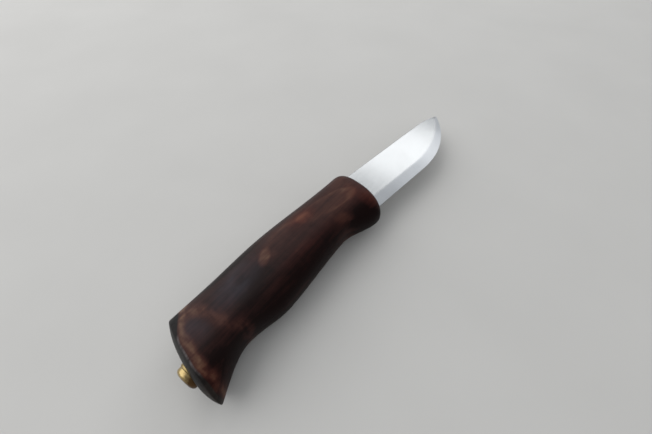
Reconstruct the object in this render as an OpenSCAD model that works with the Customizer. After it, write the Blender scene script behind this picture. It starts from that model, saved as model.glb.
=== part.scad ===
// Fixed-blade belt knife with a through tang, lying on its side.
// X runs along the tang towards the tip, Y towards the spine, Z is square to the blade's flats.
// The origin is on the tang's axis, at the handle's front face and in the middle of the thickness.

/* [Blade] */
// Length of the blade from the handle's front face to the tip
blade_len = 90; // [75:1:110]
// Height of the blade from edge to spine
blade_h = 26; // [20:0.5:30]
// Thickness of the blade at the spine
blade_t = 2.8; // [2.7:0.1:4]
// Lean of the blade to its edge side, away from the tang's line, in degrees
blade_lean = 7.2; // [0:0.2:10]
// How far the tip lies below the line of the spine
tip_drop = 2.7; // [1:0.1:5]
// Length of the curved end of the spine that falls to the tip
spine_fall = 18; // [10:0.5:28]
// Length of straight edge before the belly curves up to the tip
straight_edge = 42; // [25:1:50]
// Width of the ground bevel
bevel_w = 5.8; // [4:0.1:9]
// Thickness left at the cutting edge
edge_t = 0.2; // [0.1:0.05:0.4]
// Distance from the handle at which the flats begin to taper
taper_at = 62; // [40:1:68]
// Thickness at the tip
tip_t = 0.6; // [0.5:0.1:1.6]

/* [Tang] */
// Height of the tang where it leaves the blade
tang_h = 12; // [8:0.5:15]
// Height of the tang at the end of its flat length
tang_end_h = 7; // [5:0.5:8]
// Thickness of the tang
tang_t = 2.4; // [1.6:0.1:2.6]
// Diameter of the round threaded end
stud_d = 4; // [3:0.5:5]
// Bare length of the round end between the flat tang and the nut
stud_bare = 9; // [4:0.5:25]
// How far the round end lies below the tang's middle line at the front
stud_drop = 0.9; // [0:0.1:1.5]

/* [Handle outline] */
// Length of the handle along the tang, from the front face to the rim of the butt
handle_len = 111; // [100:1:125]
// Place of the guard bump behind the front face
guard_at = 5; // [4:0.5:9]
// Place of the finger groove
groove_at = 27.5; // [20:0.5:38]
// Place of the palm swell
swell_at = 69; // [50:1:78]
// Place of the waist ahead of the butt
waist_at = 91.5; // [84:0.5:98]
// Height of the spine line above the tang at the front
spine_front = 16.5; // [14.5:0.5:20]
// Height of the spine line at the palm swell
spine_swell = 21.2; // [17:0.2:24]
// Height of the spine line at the waist
spine_waist = 21; // [17:0.2:24]
// Height of the spine line at the butt
spine_butt = 21; // [17:0.2:26]
// Depth of the guard bump below the tang
guard_depth = 17.3; // [14.5:0.1:22]
// Depth of the belly line at the finger groove
groove_depth = 10.4; // [9:0.1:14]
// Depth of the belly line at the palm swell
swell_depth = 12.2; // [9:0.1:17]
// Depth of the belly line at the waist
waist_depth = 8.5; // [7:0.1:13]
// Depth of the beak at the butt
beak_depth = 17.3; // [11:0.1:22]
// Slope of the belly line at the beak, in degrees
beak_slope = 32; // [10:1:45]

/* [Handle section] */
// Half thickness of the handle at the guard bump
guard_half = 11; // [9:0.1:14]
// Half thickness at the finger groove
groove_half = 11.2; // [9:0.1:14]
// Half thickness at the palm swell
swell_half = 12.3; // [9:0.1:15]
// Half thickness at the waist
waist_half = 11.7; // [9:0.1:15]
// Half thickness at the butt
butt_half = 12.6; // [9:0.1:16]
// Fullness of the oval section, where 2 is an ellipse
section_power = 2.3; // [2:0.1:3]
// Length of the rounding at the front edge
nose_len = 6; // [2:0.5:8]
// Rounding taken off the front edge on the spine side
nose_spine = 3.4; // [0.5:0.1:4]
// Rounding taken off the front edge on the belly side
nose_belly = 9; // [2:0.1:10]
// Rounding taken off the front edge on the two sides
nose_side = 4.6; // [0.5:0.1:6]

/* [Butt] */
// Lean of the butt's rim, in degrees
butt_lean = 11; // [0:0.5:14]
// Height of the domed end grain above the rim
butt_crown = 3.4; // [2:0.1:6]
// Fullness of the dome, where 2 is a parabola
crown_power = 3; // [2:0.1:4]

/* [Fittings] */
// Diameter of the washer
washer_d = 10.6; // [9.5:0.1:14]
// Thickness of the washer
washer_t = 1.6; // [1:0.1:2.5]
// Bevel round the washer's outer edge
washer_bevel = 0.4; // [0.1:0.1:0.6]
// Diameter of the nut's head
nut_d = 9.8; // [8.5:0.1:11]
// Height of the nut's head
nut_h = 2.7; // [2:0.1:4]
// Radius of the rounded edge of the nut's head
nut_edge = 1.5; // [0.5:0.1:1.7]
// Rise of the slight crown on the nut's head
nut_crown = 0.25; // [0.1:0.05:0.6]
// Diameter of the nut's shank
shank_d = 6.4; // [5.5:0.1:8]
// Length of the nut's shank
shank_len = 8; // [5:0.5:9]
// How far the tang's end stops short of the nut's head
stud_short = 1; // [0.5:0.5:3]

/* [Fits] */
// Gap between the tang and the tight slot at the front
slot_gap = 0.2; // [0.1:0.05:0.5]
// Length of the tight slot
slot_len = 12; // [5:1:25]
// Gap round the tang in the channel behind the slot
bed_gap = 0.5; // [0.2:0.1:1]
// Clearance between fittings that slide together, on the diameter
fit_clear = 0.3; // [0.1:0.05:0.5]
// Gap round the tang's end inside the nut, on the diameter
thread_gap = 0.1; // [0.05:0.05:0.3]
// Depth to which the washer's seat is cut under the surface
seat_bite = 0.1; // [0.05:0.05:0.5]

/* [Hidden] */

steel_color = [0.80, 0.82, 0.83];
wood_color = [0.20, 0.11, 0.08];
bedding_color = [0.15, 0.12, 0.09];
brass_color = [0.72, 0.58, 0.30];

round_fn = 96;
section_sides = 48;
nose_rings = 5;
body_step = 2.6;
crown_rings = 7;
past = 5;
root_depth = 1;

spine_r = (spine_fall ^ 2 + tip_drop ^ 2) / (2 * tip_drop);
spine_turn = blade_len - spine_fall;
belly_run = blade_len - straight_edge;
belly_rise = blade_h - tip_drop;
belly_r = (belly_run ^ 2 + belly_rise ^ 2) / (2 * belly_rise);
belly_turn = asin(belly_run / belly_r);
taper_angle = atan((blade_t - tip_t) / 2 / (blade_len - taper_at));

root_bury = tang_h / 2 * tan(blade_lean) + root_depth;

// Place along the tang of the dome's surface under the washer's edge on the spine side
washer_top = washer_d / 2 - stud_drop;
dome_at_washer = handle_len + dome(washer_top / spine_butt) - washer_top * tan(butt_lean);
seat_at = dome_at_washer - seat_bite;
nut_at = seat_at + washer_t;
shank_in = nut_at - shank_len;
stud_end = nut_at - stud_short;
tang_len = shank_in - stud_bare;
channel_t = max(tang_t, stud_d) + 2 * bed_gap;
channel_end = tang_len + bed_gap;

// The handle's lines run through knots of place, distance from the tang and slope
spine_line = [
    [0, spine_front, 0],
    [swell_at, spine_swell, 0],
    [waist_at, spine_waist, 0],
    [handle_len, spine_butt, 0]
];
belly_line = [
    [0, guard_depth, 0],
    [guard_at, guard_depth, 0],
    [groove_at, groove_depth, 0],
    [swell_at, swell_depth, 0],
    [waist_at, waist_depth, 0],
    [handle_len, beak_depth, tan(beak_slope)]
];
half_line = [
    [0, guard_half, 0],
    [guard_at, guard_half, 0],
    [groove_at, groove_half, 0],
    [swell_at, swell_half, 0],
    [waist_at, waist_half, 0],
    [handle_len, butt_half, 0]
];

// Height of the domed butt over its rim, for a ring shrunk to the share k of the rim
function dome(k) = butt_crown * (1 - k ^ crown_power);

// Cubic between two knots
function between(a, b, s) =
    let (h = b[0] - a[0], t = (s - a[0]) / h)
    (2 * t ^ 3 - 3 * t ^ 2 + 1) * a[1] + (t ^ 3 - 2 * t ^ 2 + t) * h * a[2]
    + (3 * t ^ 2 - 2 * t ^ 3) * b[1] + (t ^ 3 - t ^ 2) * h * b[2];

// Height of the tang's upper or lower edge at the place s, where side is 1 or -1
function tang_edge(s, side) =
    side * tang_h / 2 - s / tang_len * (stud_drop + side * (tang_h - tang_end_h) / 2);

// Distance of a line from the tang at the place s
function along(line, s) =
    let (i = max([for (j = [0 : len(line) - 2]) if (j == 0 || s >= line[j][0]) j]))
    between(line[i], line[i + 1], s);

// Cosine or sine drawn out to the fullness of the section
function full(v) = sign(v) * abs(v) ^ (2 / section_power);

// One closed ring of the handle at the place s.
// bite is the share of the front rounding taken off, k shrinks the ring and push moves it back.
function ring(s, bite = 0, k = 1, push = 0) =
    let (
        up = k * (along(spine_line, s) - bite * nose_spine),
        down = k * (along(belly_line, s) - bite * nose_belly),
        half = k * (along(half_line, s) - bite * nose_side),
        lean = tan(blade_lean + (butt_lean - blade_lean) * s / handle_len)
    )
    [for (i = [0 : section_sides - 1])
        let (
            a = 360 * i / section_sides,
            y = full(cos(a)) * (cos(a) > 0 ? up : down),
            z = full(sin(a)) * half
        )
        [y * lean - s - push, y, z]];

// Closed skin over rings that each have section_sides points, front ring first
module skin(rings) {
    n = section_sides;
    last = len(rings) - 1;
    front_face = [[for (j = [n - 1 : -1 : 0]) j]];
    back_face = [[for (j = [0 : n - 1]) last * n + j]];
    side_faces = [for (i = [0 : last - 1], j = [0 : n - 1], half = [0, 1])
        let (a = i * n + j, b = i * n + (j + 1) % n)
        half == 0 ? [a, b, b + n] : [a, b + n, a + n]];
    polyhedron([for (r = rings) each r], concat(front_face, side_faces, back_face), convexity = 6);
}

// Carved outside of the handle: rounded front edge, body and domed butt
module handle_form() {
    steps = ceil((handle_len - nose_len) / body_step);
    front = [for (i = [nose_rings : -1 : 1])
        let (a = 90 * i / nose_rings)
        ring(nose_len * (1 - sin(a)), 1 - cos(a))];
    body = [for (i = [0 : steps]) ring(nose_len + (handle_len - nose_len) * i / steps)];
    crown = [for (i = [1 : crown_rings - 1])
        let (k = cos(90 * i / crown_rings))
        ring(handle_len, k = k, push = dome(k))];
    skin(concat(front, body, crown));
}

// Turns its children from the blade's own line into the line of the tang
module in_blade_line() {
    rotate([0, 0, -blade_lean]) children();
}

// Section of the ground blade, from the edge at r to the middle at r_in
function ground_section(r, r_in) = [
    [r, edge_t / 2],
    [r + sign(r_in - r) * bevel_w, blade_t / 2],
    [r_in, blade_t / 2],
    [r_in, -blade_t / 2],
    [r + sign(r_in - r) * bevel_w, -blade_t / 2],
    [r, -edge_t / 2]
];

// Blade without its tang, with ground bevels, in its own line
module ground_blade() {
    difference() {
        intersection() {
            union() {
                rotate([90, 0, 90])
                    linear_extrude(straight_edge)
                        polygon(ground_section(-blade_h / 2, blade_h / 2));
                translate([straight_edge, belly_r - blade_h / 2, 0])
                    rotate([0, 0, -90])
                        rotate_extrude(angle = belly_turn, $fn = round_fn)
                            polygon(ground_section(belly_r, 0));
            }
            linear_extrude(2 * blade_t, center = true) spine_side();
        }
        for (side = [0, 1])
            mirror([0, 0, side]) taper_cut();
    }
}

// Everything on the edge side of the spine
module spine_side() {
    below = blade_h / 2 + past;
    translate([0, -below]) square([spine_turn, below + blade_h / 2]);
    intersection() {
        translate([spine_turn, blade_h / 2 - spine_r]) circle(spine_r, $fn = round_fn);
        translate([spine_turn, -below]) square([spine_fall, below + blade_h / 2]);
    }
}

// Room taken off one flat from taper_at to the tip
module taper_cut() {
    translate([taper_at, -blade_h, blade_t / 2])
        rotate([0, taper_angle, 0])
            cube([blade_len, 2 * blade_h, blade_t]);
}

// Outline of the tang's flat, grown by a gap, from the place front ahead of the handle back to end
module tang_outline(gap, front, end) {
    polygon([
        [front, tang_edge(-front, 1) + gap],
        [-end, tang_edge(end, 1) + gap],
        [-end, tang_edge(end, -1) - gap],
        [front, tang_edge(-front, -1) - gap]
    ]);
}

// Round body on the axis of the tang's end, between two places measured back from the front face.
// It is d across, or tapers to the diameter d_far at its far end.
module on_axis(d, from, to, d_far = 0) {
    far = d_far > 0 ? d_far : d;
    translate([-to, -stud_drop, 0])
        rotate([0, 90, 0])
            cylinder(d1 = far, d2 = d, h = to - from, $fn = round_fn);
}

// Flat tang and its round end
module tang() {
    linear_extrude(tang_t, center = true) tang_outline(0, root_bury, tang_len);
    on_axis(stud_d, tang_len - stud_d, stud_end);
}

// Room for the tang in the handle: the tight slot and the wider channel behind it
module tang_channel() {
    linear_extrude(tang_t + 2 * slot_gap, center = true) tang_outline(slot_gap, root_bury, slot_len);
    linear_extrude(channel_t, center = true)
        difference() {
            tang_outline(bed_gap, 0, channel_end);
            translate([-slot_len, -tang_h]) square(2 * tang_h);
        }
}

module blade() {
    color(steel_color) {
        in_blade_line() ground_blade();
        tang();
    }
}

module handle() {
    color(wood_color)
        difference() {
            handle_form();
            tang_channel();
            on_axis(stud_d + fit_clear, tang_len, seat_at);
            on_axis(shank_d + fit_clear, shank_in - fit_clear, seat_at + past);
            on_axis(washer_d + fit_clear, seat_at, seat_at + past);
        }
}

module tang_bedding() {
    color(bedding_color)
        difference() {
            tang_channel();
            tang();
            in_blade_line() translate([0, -blade_h, -blade_h]) cube(2 * blade_h);
        }
}

module tang_washer() {
    color(brass_color)
        difference() {
            union() {
                on_axis(washer_d, seat_at, nut_at - washer_bevel);
                on_axis(washer_d, nut_at - washer_bevel, nut_at, washer_d - 2 * washer_bevel);
            }
            on_axis(shank_d + fit_clear, seat_at - past, nut_at + past);
        }
}

// Half section of the nut's head: a button with a rounded edge under a slight crown
module nut_head_section() {
    side_h = nut_h - nut_crown - nut_edge;
    crown_r = (nut_d ^ 2 / 4 + nut_crown ^ 2) / (2 * nut_crown);
    intersection() {
        union() {
            square([nut_d / 2, side_h]);
            square([nut_d / 2 - nut_edge, nut_h]);
            translate([nut_d / 2 - nut_edge, side_h]) circle(nut_edge, $fn = round_fn);
        }
        translate([0, nut_h - crown_r]) circle(crown_r, $fn = round_fn);
        square([nut_d, nut_h]);
    }
}

module tang_nut() {
    color(brass_color)
        difference() {
            union() {
                translate([-nut_at, -stud_drop, 0])
                    rotate([0, -90, 0])
                        rotate_extrude($fn = round_fn) nut_head_section();
                on_axis(shank_d, shank_in, nut_at);
            }
            on_axis(stud_d + thread_gap, shank_in - past, stud_end + fit_clear);
        }
}

blade();
handle();
tang_bedding();
tang_washer();
tang_nut();
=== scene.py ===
"""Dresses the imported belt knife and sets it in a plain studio.

Lengths in the classes are in millimetres, as on a maker's drawing, and lamps and the floor are in
metres. Meshes are in metres, in the frame's axes: X along the tang towards the tip, Y towards the
spine and Z square to the flats.
"""

import logging
import math
from collections.abc import Sequence
from dataclasses import dataclass
from enum import Enum
from typing import ClassVar

import bmesh
import bpy
from mathutils import Matrix, Vector


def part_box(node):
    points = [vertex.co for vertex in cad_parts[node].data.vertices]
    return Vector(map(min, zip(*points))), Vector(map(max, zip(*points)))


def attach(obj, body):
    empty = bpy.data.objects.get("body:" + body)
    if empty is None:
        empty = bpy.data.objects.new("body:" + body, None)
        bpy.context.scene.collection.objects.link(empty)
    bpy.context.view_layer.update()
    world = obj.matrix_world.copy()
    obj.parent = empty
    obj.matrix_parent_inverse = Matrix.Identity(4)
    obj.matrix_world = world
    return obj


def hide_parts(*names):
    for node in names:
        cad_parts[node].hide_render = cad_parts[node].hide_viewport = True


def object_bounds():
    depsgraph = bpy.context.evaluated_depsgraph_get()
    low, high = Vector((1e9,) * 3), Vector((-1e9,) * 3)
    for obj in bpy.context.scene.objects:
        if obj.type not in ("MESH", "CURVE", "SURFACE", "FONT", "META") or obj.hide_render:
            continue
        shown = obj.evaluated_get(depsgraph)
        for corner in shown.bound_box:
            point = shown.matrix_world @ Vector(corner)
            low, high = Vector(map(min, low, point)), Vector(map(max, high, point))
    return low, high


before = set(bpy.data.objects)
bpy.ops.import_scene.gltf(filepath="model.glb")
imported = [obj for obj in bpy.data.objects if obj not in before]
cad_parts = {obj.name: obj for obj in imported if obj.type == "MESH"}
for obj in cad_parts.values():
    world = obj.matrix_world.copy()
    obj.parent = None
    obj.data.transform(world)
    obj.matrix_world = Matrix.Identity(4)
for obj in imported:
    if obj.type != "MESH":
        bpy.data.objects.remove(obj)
CAD_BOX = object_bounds()

MM = 0.001
MERGE = 1e-7
NO_MERGE = -1.0
BODY = "root"
LOG = logging.getLogger("knife")

Socket = bpy.types.NodeSocket
Triple = tuple[float, float, float]
Color = Triple
Point2 = tuple[float, float]
Feed = Socket | float | tuple[float, ...]
Stops = tuple[tuple[float, Color], ...]

TO_TIP: Triple = (1.0, 0.0, 0.0)
TO_SPINE: Triple = (0.0, 1.0, 0.0)


class Slot(Enum):
    """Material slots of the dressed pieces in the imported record."""

    STEEL = "steel"
    WOOD = "wood"
    BRASS = "brass"


class Blend(Enum):
    """Ways of mixing two colours."""

    OVER = "MIX"
    STAIN = "MULTIPLY"


class Mapping(Enum):
    """Ways of mapping coordinates: TO scales, turns and moves them, FROM undoes the three."""

    TO = "POINT"
    FROM = "TEXTURE"


@dataclass(frozen=True)
class Ease:
    """Smooth step: values from low to high become start to end, and stay there beyond."""

    low: float
    high: float
    start: float = 0.0
    end: float = 1.0


@dataclass(frozen=True)
class Grain:
    """Noise of spots of a width, drawn out along X by a factor, with finer layers in them."""

    width: float
    stretch: float = 1.0
    detail: float = 2.0
    rough: float = 0.5


class Graph:
    """Node tree of one material, with short calls for the nodes that the finishes use."""

    def __init__(self, name: str) -> None:
        """Starts a material that holds only its shader and output.

        Args:
            name: Name of the material.
        """
        self.material = bpy.data.materials.new(name)
        self.material.use_nodes = True
        self.tree = self.material.node_tree
        self.tree.nodes.clear()
        self.shader = self.tree.nodes.new("ShaderNodeBsdfPrincipled")
        output = self.tree.nodes.new("ShaderNodeOutputMaterial")
        self.tree.links.new(self.shader.outputs["BSDF"], output.inputs["Surface"])

    def feed(self, socket: Socket, value: Feed) -> None:
        """Links or sets one input.

        Args:
            socket: Input to fill.
            value: Output to link, or a number or colour to set.
        """
        if isinstance(value, Socket):
            self.tree.links.new(value, socket)
        elif isinstance(value, tuple) and socket.type == "RGBA":
            socket.default_value = (*value, 1.0)
        else:
            socket.default_value = value

    def set(self, **values: Feed) -> None:
        """Fills inputs of the shader by name; an underscore stands for a space."""
        for name, value in values.items():
            self.feed(self.shader.inputs[name.replace("_", " ")], value)

    def place(
        self,
        scale: Triple = (1, 1, 1),
        move: Triple = (0, 0, 0),
        turn: Triple = (0, 0, 0),
        way: Mapping = Mapping.TO,
    ) -> Socket:
        """Gives the piece's own coordinates through a mapping.

        Args:
            scale: Factors on the three axes.
            move: Shift in millimetres.
            turn: Turns about the three axes in degrees.
            way: Whether the three are done or undone.

        Returns:
            The vector output.
        """
        mapping = self.tree.nodes.new("ShaderNodeMapping")
        mapping.vector_type = way.value
        mapping.inputs["Location"].default_value = tuple(m * MM for m in move)
        mapping.inputs["Rotation"].default_value = tuple(math.radians(a) for a in turn)
        mapping.inputs["Scale"].default_value = scale
        coords = self.tree.nodes.new("ShaderNodeTexCoord").outputs["Object"]
        self.tree.links.new(coords, mapping.inputs["Vector"])
        return mapping.outputs["Vector"]

    def across(self, y: float, z: float) -> Socket:
        """Gives the coordinates square to X, from a point in millimetres."""
        return self.place(scale=(0, 1, 1), move=(0.0, -y, -z))

    def noise(self, coords: Feed, width: float, detail: float = 2.0, rough: float = 0.5) -> Socket:
        """Adds a noise pattern.

        Args:
            coords: Vector output to read.
            width: Width of a spot in millimetres of the coordinates.
            detail: Number of finer layers.
            rough: Weight of the finer layers.

        Returns:
            The factor output.
        """
        node = self.tree.nodes.new("ShaderNodeTexNoise")
        self.feed(node.inputs["Vector"], coords)
        node.inputs["Scale"].default_value = 1 / (width * MM)
        node.inputs["Detail"].default_value = detail
        node.inputs["Roughness"].default_value = rough
        return node.outputs["Fac"]

    def grain(self, kind: Grain, lean: float = 0.0) -> Socket:
        """Adds a noise pattern of drawn-out spots, turned about Z by a lean in degrees."""
        coords = self.place(scale=(1 / kind.stretch, 1.0, 1.0), turn=(0.0, 0.0, lean))
        return self.noise(coords, kind.width, kind.detail, kind.rough)

    def attribute(self, name: str) -> Socket:
        """Reads a number that the mesh carries.

        Args:
            name: Name of the attribute.

        Returns:
            The factor output.
        """
        node = self.tree.nodes.new("ShaderNodeAttribute")
        node.attribute_name = name
        return node.outputs["Fac"]

    def math(self, operation: str, *values: Feed, kind: str = "ShaderNodeMath") -> Socket:
        """Adds a node that works out a number.

        Args:
            operation: Blender's name of the sum.
            *values: Numbers, vectors or outputs that go in.
            kind: Blender's name of the node.

        Returns:
            The value output.
        """
        node = self.tree.nodes.new(kind)
        node.operation = operation
        for socket, value in zip(node.inputs, values):
            self.feed(socket, value)
        return node.outputs["Value"]

    def vector(self, operation: str, *values: Feed) -> Socket:
        """Adds a sum on vectors that gives a number, such as a length or a product."""
        return self.math(operation, *values, kind="ShaderNodeVectorMath")

    def along(self, way: Triple) -> Socket:
        """Measures how far a point of the piece lies along a direction, in metres."""
        return self.vector("DOT_PRODUCT", self.place(), way)

    def mean(self, first: Feed, second: Feed) -> Socket:
        """Works out the mean of two values."""
        return self.math("MULTIPLY", self.math("ADD", first, second), 0.5)

    def ease(self, value: Feed, step: Ease, unit: float = 1.0) -> Socket:
        """Sends a value through a smooth step.

        Args:
            value: Output to map.
            step: The step.
            unit: What one unit of the step's low and high stands for.

        Returns:
            The result output.
        """
        node = self.tree.nodes.new("ShaderNodeMapRange")
        node.interpolation_type = "SMOOTHSTEP"
        limits = {
            "From Min": step.low * unit,
            "From Max": step.high * unit,
            "To Min": step.start,
            "To Max": step.end,
        }
        for name, number in limits.items():
            node.inputs[name].default_value = number
        self.feed(node.inputs["Value"], value)
        return node.outputs["Result"]

    def sway(self, pattern: Feed, amount: float, onto: Feed) -> Socket:
        """Lets a pattern from 0 to 1 swing a value by an amount about its middle."""
        return self.math("MULTIPLY_ADD", self.math("SUBTRACT", pattern, 0.5), amount, onto)

    def ramp(self, factor: Feed, stops: Stops) -> Socket:
        """Adds a colour ramp.

        Args:
            factor: Output that picks the colour.
            stops: Places from 0 to 1 with their colours.

        Returns:
            The colour output.
        """
        node = self.tree.nodes.new("ShaderNodeValToRGB")
        self.feed(node.inputs["Fac"], factor)
        elements = node.color_ramp.elements
        while len(elements) < len(stops):
            elements.new(1.0)
        for element, (where, color) in zip(elements, stops):
            element.position = where
            element.color = (*color, 1.0)
        return node.outputs["Color"]

    def mix(self, share: Feed, first: Feed, second: Feed, blend: Blend = Blend.OVER) -> Socket:
        """Mixes two colours.

        Args:
            share: Share of the second.
            first: Colour or output.
            second: Colour or output.
            blend: How the second goes over the first.

        Returns:
            The colour output.
        """
        node = self.tree.nodes.new("ShaderNodeMix")
        node.data_type = "RGBA"
        node.blend_type = blend.value
        under, over = [s for s in node.inputs if s.type == "RGBA"]
        self.feed(node.inputs["Factor"], share)
        self.feed(under, first)
        self.feed(over, second)
        return next(s for s in node.outputs if s.type == "RGBA")

    def bump(self, height: Feed, depth: float, strength: float) -> None:
        """Lets a height pattern bend the shader's normals.

        Args:
            height: Output with the height, from 0 to 1.
            depth: Height of the pattern in millimetres.
            strength: Share of the effect.
        """
        node = self.tree.nodes.new("ShaderNodeBump")
        node.inputs["Strength"].default_value = strength
        node.inputs["Distance"].default_value = depth * MM
        self.feed(node.inputs["Height"], height)
        self.tree.links.new(node.outputs["Normal"], self.shader.inputs["Normal"])


@dataclass(frozen=True)
class Stretch:
    """Egg-shaped stretch of the handle in which the wood differs, fading towards its border."""

    centre: Triple
    reach: Triple
    lift: float
    lean: float = 0.0
    full: float = 0.25

    def away(self, g: Graph) -> Socket:
        """Measures from the middle of the stretch, 0, to its border, 1."""
        half = tuple(r * MM for r in self.reach)
        return g.vector("LENGTH", g.place(half, self.centre, (0.0, 0.0, self.lean), Mapping.FROM))

    def lifted(self, g: Graph) -> Socket:
        """Gives the lift in full near the middle of the stretch, fading to none at its border."""
        return g.ease(self.away(g), Ease(1.0, self.full, 0.0, self.lift))


@dataclass(frozen=True)
class Curl:
    """Light band across the grain, in a leaning plane that may bow as the rim does."""

    place: float
    lean: float
    half_width: float
    lift: float
    bowed: bool = False

    @property
    def band(self) -> Ease:
        """How the lift fades with the distance from the plane."""
        return Ease(self.half_width, 0.0, 0.0, self.lift)


@dataclass(frozen=True)
class WoodFinish:
    """Dark stained, oiled wood with looped rings, a mottled butt, dark end grain and painted sheen.
    """

    rim_place: float
    rim_lean: float
    stain: Stops = (
        (0.12, (0.0066, 0.0026, 0.0024)),
        (0.36, (0.0275, 0.0098, 0.0082)),
        (0.62, (0.0560, 0.0220, 0.0158)),
        (0.95, (0.1180, 0.0630, 0.0400)),
    )
    end_stain: Stops = (
        (0.10, (0.0030, 0.0027, 0.0026)),
        (0.42, (0.0115, 0.0095, 0.0088)),
        (0.80, (0.0350, 0.0265, 0.0225)),
    )
    ruddy: Color = (1.0, 0.62, 0.58)
    # Colour of the painted sheen: a grey-blue reflection painted into the wood's colour
    painted_sheen: Color = (0.045, 0.044, 0.057)
    # Shine of the oil, which falls towards the belly
    roughness: float = 0.42
    shine: Ease = Ease(0.0, -12.0, 0.14, 0.05)
    shine_tint: Color = (1.0, 0.90, 0.89)
    # Fibres, wider streaks and open pores
    fibre: Grain = Grain(0.67, 20.0, 3.0, 0.6)
    fibre_swing: float = 0.24
    fibre_matt: float = 0.16
    streak: Grain = Grain(2.1, 14.0, 3.0, 0.6)
    streak_swing: float = 0.40
    pore: Grain = Grain(0.31, 11.0, 1.0)
    pit: Ease = Ease(0.30, 0.40)
    pit_matt: float = 0.20
    pit_share: float = 0.6
    relief: float = 0.05
    relief_share: float = 0.55
    # Clouds in the stain and the faint rings round the heart of the tree
    cloud: Grain = Grain(26.0, 2.5)
    cloud_tone: Ease = Ease(0.25, 0.75, 0.20, 0.52)
    heart: Point2 = (4.0, -30.0)
    ring_step: float = 5.0
    ring_waver: Grain = Grain(14.0, 2.5, 3.0)
    waver_swing: float = 1.1
    ring_fray: Grain = Grain(1.4, 12.0, 3.0)
    fray_swing: float = 0.30
    ring_rise: Ease = Ease(0.90, 0.99)
    ring_fall: Ease = Ease(0.75, 0.02)
    ring_share: Ease = Ease(0.32, 0.66, 0.04, 0.20)
    # Rings that close into loops on both sides
    loops: tuple[Stretch, ...] = (
        Stretch((-25.0, 4.6, 11.0), (17.0, 5.2, 14.0), 0.24, -15.0),
        Stretch((-50.0, 7.6, 10.5), (15.5, 5.4, 14.0), 0.20),
        Stretch((-58.0, -1.0, -12.0), (24.0, 6.0, 14.0), 0.36, 5.0),
        Stretch((-22.0, 5.0, -11.0), (14.0, 4.0, 14.0), 0.36, -14.0),
    )
    loop_wander: Grain = Grain(9.0, 3.0, 3.0)
    wander_swing: float = 0.50
    loop_fray: float = 0.34
    loop_rise: Ease = Ease(0.42, 0.96)
    loop_fall: Ease = Ease(1.16, 1.0)
    loop_spot: Grain = Grain(7.0, 2.0)
    loop_share: Ease = Ease(0.36, 0.60, 0.15, 1.0)
    # Curly bands at the butt
    curls: tuple[Curl, ...] = (Curl(108.5, 11.0, 2.8, 0.48, True), Curl(93.8, -20.0, 4.6, 0.29))
    blotch: Grain = Grain(5.5, 0.6, 3.0)
    blotch_swing: float = 0.20
    curl_waver: Grain = Grain(9.0)
    curl_swing: float = 5.0
    curl_share: Ease = Ease(0.32, 0.62, 0.35, 1.1)
    # Belly darkening, which is painted shade, the spine, and lighter and darker stretches
    belly: Ease = Ease(-1.0, -11.0, 0.0, -0.18)
    spine: Ease = Ease(10.0, 17.5, 0.0, -0.20)
    stretches: tuple[Stretch, ...] = (
        # Painted shade: the dark stretch under the guard bump
        Stretch((-16.0, -18.0, 4.0), (14.0, 17.0, 19.0), -0.42),
        Stretch((-86.0, 20.0, 3.0), (30.0, 30.0, 30.0), -0.20),
        Stretch((-5.5, -9.0, 9.0), (10.0, 8.0, 8.0), 0.28),
        Stretch((-14.0, 6.0, 10.0), (28.0, 20.0, 28.0), 0.07),
        Stretch((-42.0, 6.0, 12.0), (30.0, 14.0, 30.0), 0.08),
        Stretch((-64.8, 7.0, 11.8), (6.2, 3.2, 6.5), 0.36, 33.0, 0.5),
        Stretch((-37.5, 10.2, 10.0), (9.0, 3.0, 6.0), 0.16, -12.0),
        Stretch((-25.0, -6.5, 9.5), (7.0, 3.5, 6.0), 0.22, -25.0),
        Stretch((-98.0, 10.5, 11.0), (5.0, 4.5, 6.0), 0.22),
        Stretch((-103.0, -5.0, 12.0), (9.0, 9.0, 9.0), -0.03),
        Stretch((-109.6, -5.8, 12.0), (3.5, 4.0, 6.0), 0.30),
        Stretch((-103.8, 12.4, 10.8), (3.2, 4.0, 6.0), 0.22),
        Stretch((-101.0, 2.0, -13.0), (11.0, 11.0, 11.0), -0.18),
        Stretch((-20.0, 8.0, -10.0), (32.0, 32.0, 32.0), 0.12),
        Stretch((-78.0, 1.0, 11.0), (17.0, 9.0, 9.0), -0.12, 7.0),
    )
    # Redder stretches, and a painted sheen: grey-blue reflection painted into the colour on the
    # swell and before the butt
    red_cloud: Grain = Grain(16.0, 2.5)
    red_share: Ease = Ease(0.42, 0.70, 0.0, 0.4)
    red_fade: Ease = Ease(-35.0, -12.0, 1.0, 0.2)
    ruddies: tuple[Stretch, ...] = (
        Stretch((-5.0, -5.0, 8.0), (16.0, 14.0, 12.0), 0.95),
        Stretch((-38.0, 9.0, 10.0), (14.0, 7.0, 8.0), 0.95),
        Stretch((-50.0, -7.0, 9.0), (34.0, 9.0, 10.0), 0.7),
        Stretch((-110.0, -11.0, 9.0), (6.0, 8.0, 9.0), 0.45),
    )
    # Stretches of painted sheen: on the swell, before the butt and on the other side of the swell
    painted_sheens: tuple[Stretch, ...] = (
        Stretch((-80.0, 7.8, 11.5), (19.0, 9.0, 10.0), 0.36, 7.0),
        Stretch((-103.0, 5.0, 12.0), (7.0, 9.0, 10.0), 0.24),
        Stretch((-74.0, 7.0, -11.5), (19.0, 9.0, 10.0), 0.45, 7.0),
    )
    painted_sheen_cloud: Grain = Grain(7.0, 1.6)
    painted_sheen_share: Ease = Ease(0.30, 0.68, 0.45, 1.25)
    painted_sheen_fray: float = 0.35
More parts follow.
